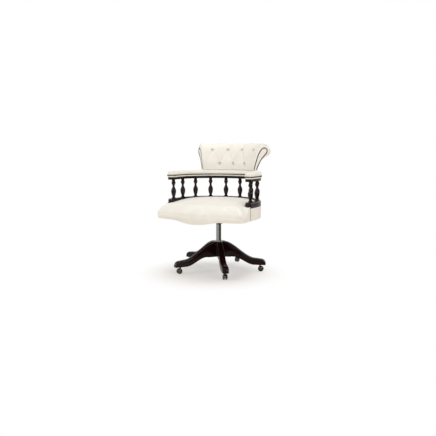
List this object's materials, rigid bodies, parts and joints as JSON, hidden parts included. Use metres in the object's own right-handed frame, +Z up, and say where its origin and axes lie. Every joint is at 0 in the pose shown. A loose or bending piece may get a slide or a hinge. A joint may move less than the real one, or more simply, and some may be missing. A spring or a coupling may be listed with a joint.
{
  "type": "captains chair",
  "caption": "Swivel armchair: horseshoe arms on turned spindles, deep-buttoned scroll back, stuffed seat, wooden star base on castors, with lift and tilt under the seat.",
  "frame": {"origin": "on the floor, on the upright axis that the seat turns about, which lies within 3 mm of the middle of the chair's box", "axes": "+Z up; the sitter faces -Y; +X is the sitter's left"},
  "size_m": [0.6468, 0.6851, 0.8902],
  "materials": {
    "leather": "ivory leather, satin, stuffed",
    "mahogany": "dark mahogany, polished",
    "beech": "plain planed beech",
    "chrome": "bright chrome",
    "castor_metal": "dark antique plate",
    "nail_metal": "dark antique plate",
    "black_steel": "black, satin",
    "spring_steel": "oiled steel",
    "nylon": "black, matt",
    "webbing": "woven jute",
    "lining": "black lining cloth"
  },
  "bodies": {
    "base": {"hub": "mahogany", "hub_tie_plate": "black_steel", "leg_1": "mahogany", "leg_2": "mahogany", "leg_3": "mahogany", "leg_4": "mahogany", "leg_5": "mahogany", "column_tube": "chrome", "column_foot": "black_steel", "column_bush": "nylon"},
    "lift": {"lift_rod": "chrome"},
    "swivel": {"tilt_housing": "black_steel", "tilt_pivot_pin": "spring_steel", "tilt_spring": "spring_steel"},
    "seat": {"seat_plate": "black_steel", "seat_frame": "beech", "seat_webbing": "webbing", "seat_cushion": "leather", "seat_border": "leather", "dust_cover": "lining", "lower_rail": "mahogany", "spindle_1": "mahogany", "spindle_2": "mahogany", "spindle_3": "mahogany", "spindle_4": "mahogany", "spindle_5": "mahogany", "spindle_6": "mahogany", "spindle_7": "mahogany", "spindle_8": "mahogany", "spindle_9": "mahogany", "spindle_10": "mahogany", "upper_rail": "mahogany", "arm_pad": "leather", "arm_nail_trim": "nail_metal", "back_frame": "beech", "back_pad": "leather", "back_cover": "leather", "back_facing_left": "leather", "back_facing_right": "leather", "back_nail_trim_left": "nail_metal", "back_nail_trim_right": "nail_metal", "button_1": "leather", "button_2": "leather", "button_3": "leather", "button_4": "leather", "button_5": "leather", "button_6": "leather", "button_7": "leather"},
    "knob": {"tension_knob": "nylon"},
    "lever": {"lift_lever": "black_steel"},
    "castor_1": {"castor_1_body": "castor_metal"},
    "castor_1_wheel_pair": {"castor_1_wheels": "castor_metal"},
    "castor_2": {"castor_2_body": "castor_metal"},
    "castor_2_wheel_pair": {"castor_2_wheels": "castor_metal"},
    "castor_3": {"castor_3_body": "castor_metal"},
    "castor_3_wheel_pair": {"castor_3_wheels": "castor_metal"},
    "castor_4": {"castor_4_body": "castor_metal"},
    "castor_4_wheel_pair": {"castor_4_wheels": "castor_metal"},
    "castor_5": {"castor_5_body": "castor_metal"},
    "castor_5_wheel_pair": {"castor_5_wheels": "castor_metal"}
  },
  "joints": [
    {"name": "lift_slide", "type": "slide", "parent": "base", "child": "lift", "axis": [0, 0, 1], "range_m": [0, 0.09]},
    {"name": "seat_swivel", "type": "hinge", "parent": "lift", "child": "swivel", "pos_m": [0, 0, 0.3498], "axis": [0, 0, 1], "continuous": true},
    {"name": "seat_tilt", "type": "hinge", "parent": "swivel", "child": "seat", "pos_m": [0, -0.04, 0.3595], "axis": [-1, 0, 0], "range_deg": [0, 12], "stiffness_Nm_per_rad": 80, "springref_deg": -20.05},
    {"name": "lift_lever_pull", "type": "hinge", "parent": "swivel", "child": "lever", "pos_m": [-0.0405, 0, 0.3595], "axis": [0, 1, 0], "range_deg": [0, 4], "stiffness_Nm_per_rad": 0.6, "springref_deg": -14.32},
    {"name": "tension_knob_turn", "type": "hinge", "parent": "swivel", "child": "knob", "pos_m": [0, -0.0725, 0.3565], "axis": [0, 1, 0], "range_deg": [-540, 540]},
    {"name": "castor_1_swivel", "type": "hinge", "parent": "base", "child": "castor_1", "pos_m": [0.17281, -0.23785, 0.06], "axis": [0, 0, 1], "continuous": true},
    {"name": "castor_1_roll", "type": "hinge", "parent": "castor_1", "child": "castor_1_wheel_pair", "pos_m": [0.17634, -0.24271, 0.01884], "axis": [0.809, 0.5878, 0], "continuous": true},
    {"name": "castor_2_swivel", "type": "hinge", "parent": "base", "child": "castor_2", "pos_m": [0.27961, 0.09085, 0.06], "axis": [0, 0, 1], "continuous": true},
    {"name": "castor_2_roll", "type": "hinge", "parent": "castor_2", "child": "castor_2_wheel_pair", "pos_m": [0.28532, 0.09271, 0.01884], "axis": [-0.309, 0.9511, 0], "continuous": true},
    {"name": "castor_3_swivel", "type": "hinge", "parent": "base", "child": "castor_3", "pos_m": [0, 0.294, 0.06], "axis": [0, 0, 1], "continuous": true},
    {"name": "castor_3_roll", "type": "hinge", "parent": "castor_3", "child": "castor_3_wheel_pair", "pos_m": [0, 0.3, 0.01884], "axis": [-1, 0, 0], "continuous": true},
    {"name": "castor_4_swivel", "type": "hinge", "parent": "base", "child": "castor_4", "pos_m": [-0.27961, 0.09085, 0.06], "axis": [0, 0, 1], "continuous": true},
    {"name": "castor_4_roll", "type": "hinge", "parent": "castor_4", "child": "castor_4_wheel_pair", "pos_m": [-0.28532, 0.09271, 0.01884], "axis": [-0.309, -0.9511, 0], "continuous": true},
    {"name": "castor_5_swivel", "type": "hinge", "parent": "base", "child": "castor_5", "pos_m": [-0.17281, -0.23785, 0.06], "axis": [0, 0, 1], "continuous": true},
    {"name": "castor_5_roll", "type": "hinge", "parent": "castor_5", "child": "castor_5_wheel_pair", "pos_m": [-0.17634, -0.24271, 0.01884], "axis": [0.809, -0.5878, 0], "continuous": true}
  ]
}
